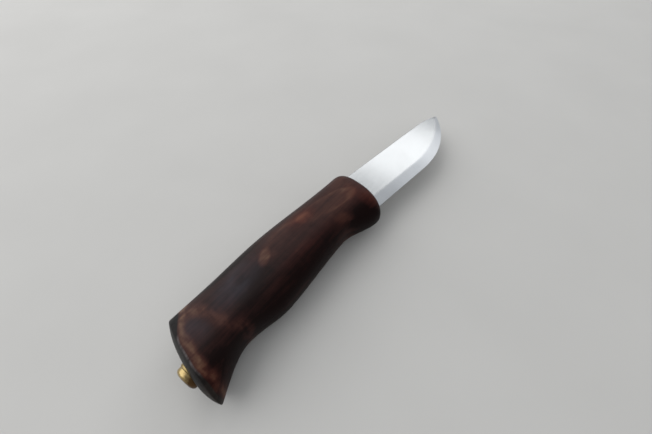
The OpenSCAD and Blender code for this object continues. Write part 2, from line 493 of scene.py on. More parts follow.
    # Rim of the butt: where the end grain begins, how it bows forward at its ends, and a pale line
    # along it, partly a worn edge, partly a painted highlight
    end_step: Ease = Ease(-0.4, 0.3)
    bow_spine: Ease = Ease(5.0, 19.0, 0.0, 4.4)
    bow_beak: Ease = Ease(-4.0, -13.0, 0.0, 1.3)
    end_spine: Ease = Ease(6.0, 13.0, -0.08, -0.32)
    end_beak: Ease = Ease(-6.0, -13.0, 0.0, 0.42)
    # Pale grey line along the rim: partly a worn edge, partly a painted highlight
    wear_and_highlight: Ease = Ease(0.65, 0.15, 0.0, 0.65)
    wear_and_highlight_fade: Ease = Ease(0.1, 1.0, 1.0, 0.0)
    wear_and_highlight_share: Ease = Ease(0.36, 0.62, 0.2, 1.2)
    wear_and_highlight_color: Color = (0.092, 0.080, 0.079)
    wear_polish: float = 0.08

    def material(self) -> bpy.types.Material:
        """Builds the nodes.

        Returns:
            The finished material.
        """
        g = Graph("stained_wood")
        fibre, streak = g.grain(self.fibre), g.grain(self.streak)
        bow = self.bow(g)
        behind = g.math("ADD", self.behind(g, self.rim_place, self.rim_lean), bow)
        # Pale grey line along the rim: partly a worn edge, partly a painted highlight on the edge
        worn = g.ease(g.math("ABSOLUTE", behind), self.wear_and_highlight, MM)
        worn = g.math("MULTIPLY", worn, g.ease(bow, self.wear_and_highlight_fade, MM))
        worn = g.math("MULTIPLY", worn, g.ease(streak, self.wear_and_highlight_share))
        tone = g.sway(streak, self.streak_swing, g.sway(fibre, self.fibre_swing, self.figure(g)))
        tone = g.math("ADD", self.curled(g, self.looped(g, streak, tone)), self.shade(g))
        lift = self.by_height(g, self.end_spine, self.end_beak)
        end = g.ramp(g.math("ADD", tone, lift), self.end_stain)
        base = g.mix(g.ease(behind, self.end_step, MM), self.stained(g, streak, tone), end)
        g.set(Base_Color=g.mix(worn, base, self.wear_and_highlight_color))
        pit = g.ease(g.grain(self.pore), self.pit)
        matt = g.math("MULTIPLY_ADD", pit, -self.pit_matt, self.roughness + self.pit_matt)
        matt = g.math("MULTIPLY_ADD", worn, -self.wear_polish, matt)
        g.set(Roughness=g.sway(fibre, self.fibre_matt, matt))
        shine = g.ease(g.along(TO_SPINE), self.shine, MM)
        g.set(Specular_IOR_Level=shine, Specular_Tint=self.shine_tint)
        ridge = g.math("MULTIPLY", fibre, 1 - self.pit_share)
        g.bump(g.math("MULTIPLY_ADD", pit, self.pit_share, ridge), self.relief, self.relief_share)
        return g.material

    def by_height(self, g: Graph, spine: Ease, belly: Ease) -> Socket:
        """Adds up a step towards the spine and a step towards the belly."""
        height = g.along(TO_SPINE)
        return g.math("ADD", g.ease(height, spine, MM), g.ease(height, belly, MM))

    def bow(self, g: Graph) -> Socket:
        """Measures how far the rim bows forward at the spine and at the beak, in metres."""
        return g.math("MULTIPLY", self.by_height(g, self.bow_spine, self.bow_beak), MM)

    def behind(self, g: Graph, place: float, lean: float) -> Socket:
        """Measures along the tang how far a point lies behind a leaning plane, in metres."""
        run = g.along((-1.0, math.tan(math.radians(lean)), 0.0))
        return g.math("SUBTRACT", run, place * MM)

    def figure(self, g: Graph) -> Socket:
        """Draws clouds in the stain and faint growth rings that come and go.

        Args:
            g: Graph to add to.

        Returns:
            Lightness from about 0 to 1.
        """
        radius = g.vector("LENGTH", g.across(*self.heart))
        rings = g.math("MULTIPLY", radius, 1 / (self.ring_step * MM))
        rings = g.sway(g.grain(self.ring_waver), self.waver_swing, rings)
        phase = g.math("FRACT", g.sway(g.grain(self.ring_fray), self.fray_swing, rings))
        line = g.math("MAXIMUM", g.ease(phase, self.ring_fall), g.ease(phase, self.ring_rise))
        cloud = g.grain(self.cloud)
        share, tone = g.ease(cloud, self.ring_share), g.ease(cloud, self.cloud_tone)
        return g.math("MULTIPLY_ADD", line, share, tone)

    def looped(self, g: Graph, streak: Socket, tone: Socket) -> Socket:
        """Draws the growth rings that close into long, frayed loops.

        Args:
            g: Graph to add to.
            streak: Pattern that frays the lines.
            tone: Lightness so far.

        Returns:
            Lightness with the loops.
        """
        wander = g.grain(self.loop_wander)
        strength = g.ease(g.grain(self.loop_spot), self.loop_share)
        for loop in self.loops:
            away = g.sway(streak, self.loop_fray, g.sway(wander, self.wander_swing, loop.away(g)))
            line = g.math("MULTIPLY", g.ease(away, self.loop_rise), g.ease(away, self.loop_fall))
            tone = g.math("MULTIPLY_ADD", g.math("MULTIPLY", line, strength), loop.lift, tone)
        return tone

    def curled(self, g: Graph, tone: Socket) -> Socket:
        """Draws the curly bands before the butt, blotched and wavering.

        Args:
            g: Graph to add to.
            tone: Lightness so far.

        Returns:
            Lightness with the bands.
        """
        blotch, waver = g.grain(self.blotch), g.grain(self.curl_waver)
        strength = g.ease(blotch, self.curl_share)
        tone = g.sway(blotch, self.blotch_swing, tone)
        for curl in self.curls:
            off = g.sway(waver, self.curl_swing * MM, self.behind(g, curl.place, curl.lean))
            if curl.bowed:
                off = g.math("ADD", off, self.bow(g))
            lift = g.ease(g.math("ABSOLUTE", off), curl.band, MM)
            tone = g.math("MULTIPLY_ADD", lift, strength, tone)
        return tone

    def shade(self, g: Graph) -> Socket:
        """Darkens the belly with painted shade, darkens the spine, and lifts or lowers the
        stretches.

        Args:
            g: Graph to add to.

        Returns:
            Lightness to add.
        """
        lift = self.by_height(g, self.spine, self.belly)
        for stretch in self.stretches:
            lift = g.math("ADD", lift, stretch.lifted(g))
        return lift

    def stained(self, g: Graph, streak: Socket, tone: Socket) -> Socket:
        """Colours the lightness, redder in places, with a painted grey-blue sheen on the swell and
        before the butt.

        Args:
            g: Graph to add to.
            streak: Pattern that breaks up the bloom.
            tone: Lightness.

        Returns:
            The colour.
        """
        behind = self.behind(g, self.rim_place, self.rim_lean)
        fade = g.ease(behind, self.red_fade, MM)
        red = g.math("MULTIPLY", g.ease(g.grain(self.red_cloud), self.red_share), fade)
        for ruddy in self.ruddies:
            red = g.math("MAXIMUM", red, ruddy.lifted(g))
        stain = g.mix(red, g.ramp(tone, self.stain), self.ruddy, Blend.STAIN)
        # Painted sheen: a grey-blue reflection painted into the colour, in clouds frayed by the
        # streaks
        cloud = g.ease(g.grain(self.painted_sheen_cloud), self.painted_sheen_share)
        painted_sheen_breakup = g.sway(streak, self.painted_sheen_fray, cloud)
        for painted_sheen in self.painted_sheens:
            stain = g.mix(g.math("MULTIPLY", painted_sheen.lifted(g), painted_sheen_breakup), stain, self.painted_sheen)
        return stain


@dataclass(frozen=True)
class SteelFinish:
    """Satin steel with fine lines along its flats and across its bevel, and painted shade near the
    handle.
    """

    lean: float
    color: Color = (0.565, 0.575, 0.58)
    bevel_color: Color = (0.585, 0.60, 0.62)
    worn_color: Color = (0.57, 0.58, 0.59)
    stain_color: Color = (0.0, 0.0, 0.0)
    roughness: float = 0.25
    bevel_roughness: float = 0.34
    worn_roughness: float = 0.20
    matt_swing: float = 0.12
    flat_lines: Grain = Grain(0.16, 50.0)
    bevel_lines: Grain = Grain(5.3, 0.03)
    cloud: Grain = Grain(16.7, 1.0, 3.0)
    stain: Ease = Ease(0.62, 0.34, 0.0, 0.12)
    # Painted shade: the steel greys towards the handle
    painted_root_shade: Ease = Ease(30.0, 6.0, 0.0, 0.11)
    relief: float = 0.004
    relief_share: float = 0.35

    def material(self) -> bpy.types.Material:
        """Builds the nodes.

        Returns:
            The finished material.
        """
        g = Graph("satin_steel")
        bevel, worn = g.attribute(Blade.BEVEL), g.attribute(Blade.WORN)
        along, across = g.grain(self.flat_lines, self.lean), g.grain(self.bevel_lines, self.lean)
        lines = g.math("MULTIPLY_ADD", bevel, g.math("SUBTRACT", across, along), along)
        tone = g.mean(lines, g.grain(self.cloud))
        clean = g.mix(worn, g.mix(bevel, self.color, self.bevel_color), self.worn_color)
        # Painted shade: the steel greys towards the handle, added to the random stains
        painted_root_shade = g.ease(g.along(TO_TIP), self.painted_root_shade, MM)
        stain = g.math("ADD", g.ease(tone, self.stain), painted_root_shade)
        g.set(Base_Color=g.mix(stain, clean, self.stain_color), Metallic=1.0)
        flat = self.roughness
        matt = g.math("MULTIPLY_ADD", bevel, self.bevel_roughness - flat, flat)
        matt = g.math("MULTIPLY_ADD", worn, self.worn_roughness - flat, matt)
        g.set(Roughness=g.sway(tone, self.matt_swing, matt))
        g.bump(lines, self.relief, self.relief_share)
        return g.material


@dataclass(frozen=True)
class BrassFinish:
    """Turned brass with random tarnish, and painted light and shade: brighter towards +Y and up,
    darker on the other side.
    """

    name: str
    axis_y: float
    color: Color = (0.50, 0.375, 0.17)
    # Dark end of the colours: tarnish, and painted shade on the side away from the light
    dull_and_painted_shade: Color = (0.095, 0.052, 0.022)
    roughness: float = 0.24
    stain: Grain = Grain(4.2, 1.0, 4.0, 0.6)
    dull_below: float = 0.42
    bright_above: float = 0.80
    # Direction in which the painted light rises across the brass; the other side gets painted shade
    painted_light_way: Triple = (0.0, 0.09, 0.054)
    tarnish: Ease = Ease(0.55, 0.20, 0.0, 0.16)
    stain_matt: float = -0.12
    lathe_w: float = 0.11
    scratch_w: float = 0.38
    scratch_scale: Triple = (1.0, 0.1, 1.0)
    scratch_turn: Triple = (20.0, 0.0, 30.0)
    scratch_matt: float = 0.10
    relief: float = 0.008
    relief_share: float = 0.35

    def material(self) -> bpy.types.Material:
        """Builds the nodes.

        Returns:
            The finished material.
        """
        g = Graph(self.name)
        stain = g.grain(self.stain)
        from_axis = g.across(self.axis_y, 0.0)
        turned = g.noise(g.vector("LENGTH", from_axis), self.lathe_w, detail=1.0)
        scratch = g.noise(g.place(self.scratch_scale, turn=self.scratch_turn), self.scratch_w)
        # Painted light and shade: the colour brightens towards +Y and up and darkens on the other
        # side, added to the random tarnish
        painted_light_side = g.vector("DOT_PRODUCT", from_axis, tuple(c / MM for c in self.painted_light_way))
        polish_and_painted_light = g.math("ADD", painted_light_side, stain)
        stops = ((self.dull_below, self.dull_and_painted_shade), (self.bright_above, self.color))
        g.set(Base_Color=g.ramp(polish_and_painted_light, stops), Metallic=1.0)
        matt = g.sway(stain, self.stain_matt, g.sway(scratch, self.scratch_matt, self.roughness))
        g.set(Roughness=g.math("ADD", g.ease(polish_and_painted_light, self.tarnish), matt))
        g.bump(g.mean(turned, scratch), self.relief, self.relief_share)
        return g.material


@dataclass(frozen=True)
class AdhesiveFinish:
    """Set dark adhesive with small specks."""

    specks: Grain = Grain(1.1, 1.0, 3.0)
    stops: Stops = ((0.45, (0.020, 0.014, 0.009)), (0.75, (0.045, 0.034, 0.022)))
    roughness: float = 0.5
    matt_swing: float = 0.2
    relief: float = 0.05
    relief_share: float = 0.4

    def material(self) -> bpy.types.Material:
        """Builds the nodes.

        Returns:
            The finished material.
        """
        g = Graph("set_adhesive")
        specks = g.grain(self.specks)
        matt = g.sway(specks, self.matt_swing, self.roughness)
        g.set(Base_Color=g.ramp(specks, self.stops), Roughness=matt)
        g.bump(specks, self.relief, self.relief_share)
        return g.material


def linked_object(name: str, mesh: bmesh.types.BMesh) -> bpy.types.Object:
    """Turns a mesh into an object of the scene.

    Args:
        name: Name of the object and of its data.
        mesh: Mesh to hand over; it is freed.

    Returns:
        The object, at the origin.
    """
    data = bpy.data.meshes.new(name)
    mesh.to_mesh(data)
    mesh.free()
    made = bpy.data.objects.new(name, data)
    bpy.context.scene.collection.objects.link(made)
    return made


def finished_piece(
    node: str, mesh: bmesh.types.BMesh, material: bpy.types.Material,
) -> bpy.types.Object:
    """Merges doubles, points the faces outwards and hangs the mesh on the body for a node.

    Args:
        node: Name of the node that the piece stands for.
        mesh: Finished mesh; it is freed.
        material: Finish of the piece.

    Returns:
        The piece.
    """
    bmesh.ops.remove_doubles(mesh, verts=mesh.verts, dist=MERGE)
    bmesh.ops.recalc_face_normals(mesh, faces=mesh.faces)
    for face in mesh.faces:
        face.smooth = True
    piece = linked_object(node + "_dressed", mesh)
    piece.data.materials.append(material)
    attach(piece, BODY)
    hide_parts(node)
    return piece


def crease(mesh: bmesh.types.BMesh, degrees: float) -> None:
    """Marks the edges that are sharper than an angle.

    Args:
        mesh: Mesh to mark.
        degrees: Angle between two faces above which their edge stays crisp.
    """
    limit = math.radians(degrees)
    for edge in mesh.edges:
        if edge.calc_face_angle(0.0) > limit:
            edge.smooth = False


def united(shells: Sequence[bmesh.types.BMesh]) -> bmesh.types.BMesh:
    """Joins closed shells that overlap into one.

    Args:
        shells: Shells to join; they are freed.

    Returns:
        The joined mesh.
    """
    holders = [linked_object("shell", shell) for shell in shells]
    for other in holders[1:]:
        union = holders[0].modifiers.new("union", "BOOLEAN")
        union.operation = "UNION"
        union.solver = "EXACT"
        union.object = other
    joined = bmesh.new()
    joined.from_object(holders[0], bpy.context.evaluated_depsgraph_get())
    for holder in holders:
        data = holder.data
        bpy.data.objects.remove(holder)
        bpy.data.meshes.remove(data)
    return joined


class RingLoft:
    """Wall that grows from ring to ring by extruding its last ring."""

    def __init__(self, points: Sequence[Vector]) -> None:
        """Starts the wall.

        Args:
            points: Places of the first ring, in order.
        """
        self.mesh = bmesh.new()
        self.ring = bmesh.ops.create_circle(self.mesh, segments=len(points), radius=1.0)["verts"]
        self.first = list(self.ring)
        self.settle(points)

    def settle(self, points: Sequence[Vector]) -> None:
        """Puts the last ring's corners in their places, in order."""
        for vert, point in zip(self.ring, points):
            vert.co = point

    def edges(self, ring: Sequence[bmesh.types.BMVert]) -> list[bmesh.types.BMEdge]:
        """Finds the edges of a ring, in order."""
        return [self.mesh.edges.get((a, b)) for a, b in zip(ring, [*ring[1:], ring[0]])]

    def grow(self, points: Sequence[Vector]) -> list[bmesh.types.BMVert]:
        """Extrudes the last ring to the next place.

        Args:
            points: Places of the new ring, in order.

        Returns:
            The new ring's corners.
        """
        made = bmesh.ops.extrude_edge_only(self.mesh, edges=self.edges(self.ring))["geom"]
        fresh = {v for v in made if isinstance(v, bmesh.types.BMVert)}
        self.ring = [
            next(e.other_vert(v) for e in v.link_edges if e.other_vert(v) in fresh)
            for v in self.ring
        ]
        self.settle(points)
        return self.ring

    def close(self) -> None:
        """Joins the last ring to the first."""
        bmesh.ops.bridge_loops(self.mesh, edges=self.edges(self.ring) + self.edges(self.first))


@dataclass(frozen=True)
class Knot:
    """Point of a handle line: its place behind the front, distance from the tang and slope."""

    place: float
    distance: float
    slope: float = 0.0


@dataclass(frozen=True)
class HandleLine:
    """Smooth line through knots, one cubic between each two."""

    knots: tuple[Knot, ...]

    def at(self, place: float) -> float:
        """Reads the line.

        Args:
            place: Place behind the front.

        Returns:
            Distance from the tang.
        """
        pairs = list(zip(self.knots, self.knots[1:]))
        a, b = next((p for p in pairs if place <= p[1].place), pairs[-1])
        h = b.place - a.place
        t = (place - a.place) / h
        start = (2 * t**3 - 3 * t**2 + 1) * a.distance + (t**3 - 2 * t**2 + t) * h * a.slope
        return start + (3 * t**2 - 2 * t**3) * b.distance + (t**3 - t**2) * h * b.slope


@dataclass(frozen=True)
class Tang:
    """Sizes that the tang, its channel and its fittings share."""

    lean: float = 7.2
    height: float = 12.0
    end_height: float = 7.0
    thick: float = 2.4
    bury: float = 1.0
    stud_d: float = 4.0
    stud_drop: float = 0.9
    stud_bare: float = 9.0
    slot_gap: float = 0.2
    slot_len: float = 12.0
    bed_gap: float = 0.5
    fit_clear: float = 0.3
    shank_d: float = 6.4
    washer_d: float = 10.6

    @property
    def seat_at(self) -> float:
        """Place of the washer's seat, read from the frame."""
        return -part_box("tang_washer")[1].x / MM

    @property
    def nut_at(self) -> float:
        """Place where the nut's head begins, read from the frame."""
        return -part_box("tang_washer")[0].x / MM

    @property
    def shank_in(self) -> float:
        """Place of the inner end of the nut's shank, read from the frame."""
        return -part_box("tang_nut")[1].x / MM

    @property
    def stud_end(self) -> float:
        """Place of the tang's end, read from the frame."""
        return -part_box("blade")[0].x / MM

    @property
    def length(self) -> float:
        """Length of the flat tang."""
        return self.shank_in - self.stud_bare

    @property
    def root(self) -> float:
        """Place of the tang's root, buried in the leaning end of the blade."""
        return -self.height / 2 * math.tan(math.radians(self.lean)) - self.bury

    def edge(self, place: float, side: int) -> float:
        """Gives the height of the tang's upper edge, side 1, or lower edge, side -1."""
        narrowing = (self.height - self.end_height) / 2
        return side * self.height / 2 - place / self.length * (self.stud_drop + side * narrowing)


@dataclass
class Handle:
    """Carved wooden handle, one closed wall from the outside through the seat and the channel."""

    tang: Tang
    length: float = 111.0
    butt_lean: float = 11.0
    spine: HandleLine = HandleLine((
        Knot(0, 16.5), Knot(69, 21.19), Knot(91.5, 21.0), Knot(111, 21.0),
    ))
    belly: HandleLine = HandleLine((
        Knot(0, 17.3), Knot(5, 17.3), Knot(27.5, 10.4), Knot(69, 12.2), Knot(91.5, 8.5),
        Knot(111, 17.3, math.tan(math.radians(32))),
    ))
    half: HandleLine = HandleLine((
        Knot(0, 11.0), Knot(5, 11.0), Knot(27.5, 11.2), Knot(69, 12.3), Knot(91.5, 11.7),
        Knot(111, 12.6),
    ))
    section_power: float = 2.3
    nose_len: float = 6.0
    nose_spine: float = 3.4
    nose_belly: float = 9.0
    nose_side: float = 4.6
    crown: float = 3.4
    crown_power: float = 3.0
    rim_round: float = 0.5
    rim_steps: int = 3
    sides: int = 96
    nose_rings: int = 9
    body_rings: int = 72
    crown_rings: int = 9
    crease_angle: float = 40.0

    def build(self) -> bpy.types.Object:
        """Builds and dresses the handle.

        Returns:
            The handle's piece.
        """
        tang = self.tang
        slot_half = tang.thick / 2 + tang.slot_gap
        loft = RingLoft(self.channel_ring(tang.slot_len, tang.slot_gap, slot_half))
        loft.grow(self.channel_ring(0.0, tang.slot_gap, slot_half, mouth=True))
        for i in range(self.nose_rings, 0, -1):
            turn = math.pi / 2 * i / self.nose_rings
            loft.grow(self.outer_ring(self.nose_len * (1 - math.sin(turn)), 1 - math.cos(turn)))
        body = self.length - self.nose_len
        for i in range(self.body_rings + 1):
            rim = loft.grow(self.outer_ring(self.nose_len + body * i / self.body_rings))
        for i in range(1, self.crown_rings + 1):
            loft.grow(self.crown_ring(i / self.crown_rings))
        self.grow_bores(loft)
        loft.close()
        bmesh.ops.recalc_face_normals(loft.mesh, faces=loft.mesh.faces)
        bmesh.ops.bevel(
            loft.mesh, geom=loft.edges(rim), offset=self.rim_round * MM, offset_type="OFFSET",
            segments=self.rim_steps, profile=0.5, affect="EDGES", material=-1,
        )
        crease(loft.mesh, self.crease_angle)
        finish = WoodFinish(self.length, self.butt_lean)
        return finished_piece("handle", loft.mesh, finish.material())

    def grow_bores(self, loft: RingLoft) -> None:
        """Grows the washer's seat, the bores and the channel, from the butt inwards.

        Args:
            loft: Wall that has reached the seat's mouth.
        """
        tang = self.tang
        seat, shank, stud = (d + tang.fit_clear for d in (tang.washer_d, tang.shank_d, tang.stud_d))
        shank_floor = tang.shank_in - tang.fit_clear
        channel_end = tang.length + tang.bed_gap
        channel_half = max(tang.thick, tang.stud_d) / 2 + tang.bed_gap
        for diameter, place in (
            (seat, tang.seat_at),
            (shank, tang.seat_at),
            (shank, shank_floor),
            (stud, shank_floor),
            (stud, channel_end),
        ):
            loft.grow(self.bore_ring(diameter, place))
        for place in (channel_end, tang.slot_len):
            loft.grow(self.channel_ring(place, tang.bed_gap, channel_half))

    def angles(self) -> list[float]:
        """Angles of a ring's corners, from the spine round by +Z."""
        return [2 * math.pi * i / self.sides for i in range(self.sides)]

    def full(self, value: float) -> float:
        """Draws a cosine or sine out to the fullness of the section."""
        return math.copysign(abs(value) ** (2 / self.section_power), value)

    def outer_ring(self, place: float, bite: float = 0.0) -> list[Vector]:
        """Gives a ring of the carved outside.

        Args:
            place: Place behind the front.
            bite: Share of the front rounding taken off.

        Returns:
            The ring's corners.
        """
        up = self.spine.at(place) - bite * self.nose_spine
        down = self.belly.at(place) - bite * self.nose_belly
        half = self.half.at(place) - bite * self.nose_side
        front = self.tang.lean
        lean = math.tan(math.radians(front + (self.butt_lean - front) * place / self.length))
        ring = []
        for a in self.angles():
            y = self.full(math.cos(a)) * (up if math.cos(a) > 0 else down)
            ring.append(Vector((y * lean - place, y, self.full(math.sin(a)) * half)) * MM)
        return ring

    def crown_ring(self, share: float) -> list[Vector]:
        """Gives a ring on the domed butt, between its rim and the mouth of the washer's seat.

        Args:
            share: 0 at the rim and 1 at the seat.

        Returns:
            The ring's corners.
        """
        lines = (self.spine, self.belly, self.half)
        up, down, half = (line.at(self.length) for line in lines)
        lean = math.tan(math.radians(self.butt_lean))
        power = self.section_power
        mouth = self.bore_ring(self.tang.washer_d + self.tang.fit_clear, 0.0)
        ring = []
        for rim, seat in zip(self.outer_ring(self.length), mouth):
            y, z = rim.yz.lerp(seat.yz, share) / MM
            reach = up if y > 0 else down
            k = ((abs(y) / reach) ** power + (abs(z) / half) ** power) ** (1 / power)
            rise = self.crown * (1 - k**self.crown_power)
            ring.append(Vector((y * lean - self.length - rise, y, z)) * MM)
        return ring

    def bore_ring(self, diameter: float, place: float) -> list[Vector]:
        """Gives a round ring on the axis of the tang's end, at a place behind the front."""
        r, drop = diameter / 2, self.tang.stud_drop
        return [
            Vector((-place, r * math.cos(a) - drop, r * math.sin(a))) * MM for a in self.angles()
        ]

    def channel_ring(
        self, place: float, gap: float, half: float, mouth: bool = False,
    ) -> list[Vector]:
        """Gives an oblong ring round the flat tang.

        Args:
            place: Place behind the front.
            gap: Gap above and below the tang.
            half: Half thickness of the channel.
            mouth: Whether the ring lies in the leaning front face.

        Returns:
            The ring's corners.
        """
        top = self.tang.edge(place, 1) + gap
        bottom = self.tang.edge(place, -1) - gap
        middle, tall = (top + bottom) / 2, (top - bottom) / 2
        lean = math.tan(math.radians(self.tang.lean)) if mouth else 0.0
        ring = []
        for a in self.angles():
            k = 1 / max(abs(math.cos(a)), abs(math.sin(a)))
            y = middle + k * tall * math.cos(a)
            ring.append(Vector((y * lean - place, y, k * half * math.sin(a))) * MM)
        return ring


@dataclass
class Blade:
    """Ground blade with its tang."""

    BEVEL: ClassVar[str] = "bevel"
    WORN: ClassVar[str] = "worn"

    tang: Tang
    length: float = 90.0
    height: float = 25.96
    thick: float = 2.8
    tip_drop: float = 2.7
    spine_fall: float = 18.0
    straight_edge: float = 42.0
    bevel_w: float = 5.8
    edge_t: float = 0.2
    tip_t: float = 0.6
    tip_slope: float = 0.12
    taper_at: float = 50.0
    spine_round: float = 0.3
    shoulder_soft: float = 0.8
    # Limits near the tip: shares of the height there, of the half thickness and of bevel and flat
    shoulder_share: float = 0.7
    round_share: float = 0.2
    round_thick_share: float = 0.35
    soft_share: float = 0.3
    shoulder_tries: int = 8
    straight_stations: int = 12
    belly_stations: int = 56
    bevel_rows: int = 4
    flat_rows: int = 7
    round_rows: int = 3
    fade_rows: int = 2
    stud_sides: int = 48
    crease_angle: float = 35.0

    @property
    def belly_r(self) -> float:
        """Radius of the belly's arc."""
        rise = self.height - self.tip_drop
        return ((self.length - self.straight_edge) ** 2 + rise**2) / (2 * rise)

    @property
    def spine_r(self) -> float:
        """Radius of the falling end of the spine."""
        return (self.spine_fall**2 + self.tip_drop**2) / (2 * self.tip_drop)

    @property
    def spine_row(self) -> int:
        """Row of corners where the flat ends and the spine's rounding begins."""
        return self.bevel_rows + self.flat_rows

    def build(self) -> bpy.types.Object:
        """Builds and dresses the blade.

        Returns:
            The blade's piece.
        """
        mesh = united([self.ground_blade(), self.flat_tang(), self.round_end()])
        crease(mesh, self.crease_angle)
        return finished_piece("blade", mesh, SteelFinish(self.tang.lean).material())

    def ground_blade(self) -> bmesh.types.BMesh:
        """Makes the blade before the handle: one side, its mirror image and the strips between.

        Returns:
            Closed mesh, turned to the blade's lean.
        """
        stations = self.straight_stations + self.belly_stations
        rows = self.spine_row + self.round_rows
        mesh = bmesh.new()
        ground = mesh.verts.layers.float.new(self.BEVEL)
        worn = mesh.faces.layers.float.new(self.WORN)
        grid = bmesh.ops.create_grid(mesh, x_segments=stations, y_segments=rows, size=1.0)["verts"]
        cells = {
            v: (round((v.co.x + 1) / 2 * stations), round((v.co.y + 1) / 2 * rows)) for v in grid
        }
        for face in mesh.faces:
            face[worn] = float(all(cells[v][1] >= self.spine_row for v in face.verts))
        for vert, (station, row) in cells.items():
            vert.co = self.point(station, row)
            vert[ground] = min(max((self.bevel_rows + 1 - row) / self.fade_rows, 0.0), 1.0)
        bmesh.ops.remove_doubles(mesh, verts=mesh.verts, dist=MERGE)
        side = [*mesh.verts, *mesh.edges, *mesh.faces]
        bmesh.ops.mirror(mesh, geom=side, merge_dist=NO_MERGE, axis="Z")
        rims = [e for e in mesh.edges if e.is_boundary]
        for face in bmesh.ops.bridge_loops(mesh, edges=rims)["faces"]:
            face[worn] = 1.0
        bmesh.ops.recalc_face_normals(mesh, faces=mesh.faces)
        turn = Matrix.Rotation(math.radians(-self.tang.lean), 3, "Z")
        bmesh.ops.rotate(mesh, verts=mesh.verts, cent=(0, 0, 0), matrix=turn)
        return mesh

    def ray(self, station: int) -> tuple[Vector, Vector, float]:
        """Gives the line across the blade, square to the edge, at a station.

        Args:
            station: Number of the station, from the handle.

        Returns:
            Point on the edge, direction to the spine and length to the spine.
        """
        if station <= self.straight_stations:
            x = self.straight_edge * station / self.straight_stations
            return Vector((x, -self.height / 2)), Vector((0, 1)), self.height
        whole = math.asin((self.length - self.straight_edge) / self.belly_r)
        turn = whole * (station - self.straight_stations) / self.belly_stations
        centre = Vector((self.straight_edge, self.belly_r - self.height / 2))
        inward = Vector((-math.sin(turn), math.cos(turn)))
        edge = centre - inward * self.belly_r
        reach = (self.height / 2 - edge.y) / inward.y
        spine_turn = self.length - self.spine_fall
        if edge.x + inward.x * reach > spine_turn:
            out = edge - Vector((spine_turn, self.height / 2 - self.spine_r))
            b = out.dot(inward)
            reach = math.sqrt(max(b * b - out.length_squared + self.spine_r**2, 0.0)) - b
        return edge, inward, max(reach, 0.0)

    def taper(self, x: float) -> float:
        """Gives the half thickness of the flats, which thin smoothly and end in a point.

        Args:
            x: Distance from the handle.

        Returns:
            Half thickness.
        """
        share = max(x - self.taper_at, 0.0) / (self.length - self.taper_at)
        half = self.thick / 2 - (self.thick - self.tip_t) / 2 * share**2
        return min(half, self.edge_t / 2 + self.tip_slope * max(self.length - x, 0.0))

    def bevel_z(self, depth: float) -> float:
        """Gives the half thickness of the ground bevel at a depth behind the edge."""
        return self.edge_t / 2 + (self.thick - self.edge_t) / 2 * depth / self.bevel_w

    def shoulder(self, edge: Vector, inward: Vector, reach: float) -> float:
        """Finds where the bevel meets the flat, nearer to the edge where the blade is thinner.

        Args:
            edge: Point on the edge.
            inward: Direction to the spine.
            reach: Length to the spine.

        Returns:
            Depth behind the edge.
        """
        depth = self.bevel_w
        for _ in range(self.shoulder_tries):
            limit = self.taper((edge + inward * depth).x)
            depth = self.bevel_w * (limit - self.edge_t / 2) / ((self.thick - self.edge_t) / 2)
        return min(depth, self.shoulder_share * reach)

    def point(self, station: int, row: int) -> Vector:
        """Places one corner of the blade's upper side.

        Args:
            station: Number along the edge, from the handle.
            row: Number across, from the edge to the spine.

        Returns:
            The corner's place in the blade's own line.
        """
        edge, inward, reach = self.ray(station)
        shoulder = self.shoulder(edge, inward, reach)
        thick_limit = self.round_thick_share * self.taper(edge.x)
        rounding = min(self.spine_round, thick_limit, self.round_share * reach)
        flat = reach - rounding - shoulder
        soft = min(self.shoulder_soft, self.soft_share * shoulder, self.soft_share * flat)
        if row < self.bevel_rows:
            depth = (shoulder - soft) * row / (self.bevel_rows - 1)
        elif row == self.bevel_rows:
            depth = shoulder
        elif row < self.spine_row:
            hold = min(rounding, self.soft_share * flat)
            share = (row - self.bevel_rows - 1) / (self.flat_rows - 2)
            depth = shoulder + soft + (flat - soft - hold) * share
        else:
            depth = shoulder + flat
        z = min(self.bevel_z(depth), self.taper((edge + inward * depth).x))
        if row > self.spine_row:
            turn = math.pi / 2 * (row - self.spine_row) / self.round_rows
            depth += rounding * math.sin(turn)
            z -= rounding * (1 - math.cos(turn))
        place = edge + inward * depth
        return Vector((place.x, place.y, z)) * MM

    def flat_tang(self) -> bmesh.types.BMesh:
        """Makes the flat tang, which narrows towards the butt.

        Returns:
            Closed mesh.
        """
        tang = self.tang
        mesh = bmesh.new()
        corners = [(tang.root, 1), (tang.length, 1), (tang.length, -1), (tang.root, -1)]
        low = -tang.thick / 2
        outline = [Vector((-place, tang.edge(place, side), low)) * MM for place, side in corners]
        sheet = mesh.faces.new([mesh.verts.new(corner) for corner in outline])
        made = bmesh.ops.extrude_face_region(mesh, geom=[sheet])["geom"]
        raised = [v for v in made if isinstance(v, bmesh.types.BMVert)]
        bmesh.ops.translate(mesh, verts=raised, vec=(0, 0, tang.thick * MM))
        bmesh.ops.recalc_face_normals(mesh, faces=mesh.faces)
        return mesh

    def round_end(self) -> bmesh.types.BMesh:
        """Makes the tang's round end, which starts inside the flat part.

        Returns:
            Closed mesh.
        """
        tang = self.tang
        start = tang.length - tang.stud_d
        middle = Matrix.Translation(Vector((-(start + tang.stud_end) / 2, -tang.stud_drop, 0)) * MM)
        lying = middle @ Matrix.Rotation(math.pi / 2, 4, "Y")
        r = tang.stud_d / 2 * MM
        mesh = bmesh.new()
        bmesh.ops.create_cone(
            mesh, cap_ends=True, segments=self.stud_sides, radius1=r, radius2=r,
            depth=(tang.stud_end - start) * MM, matrix=lying,
        )
        return mesh


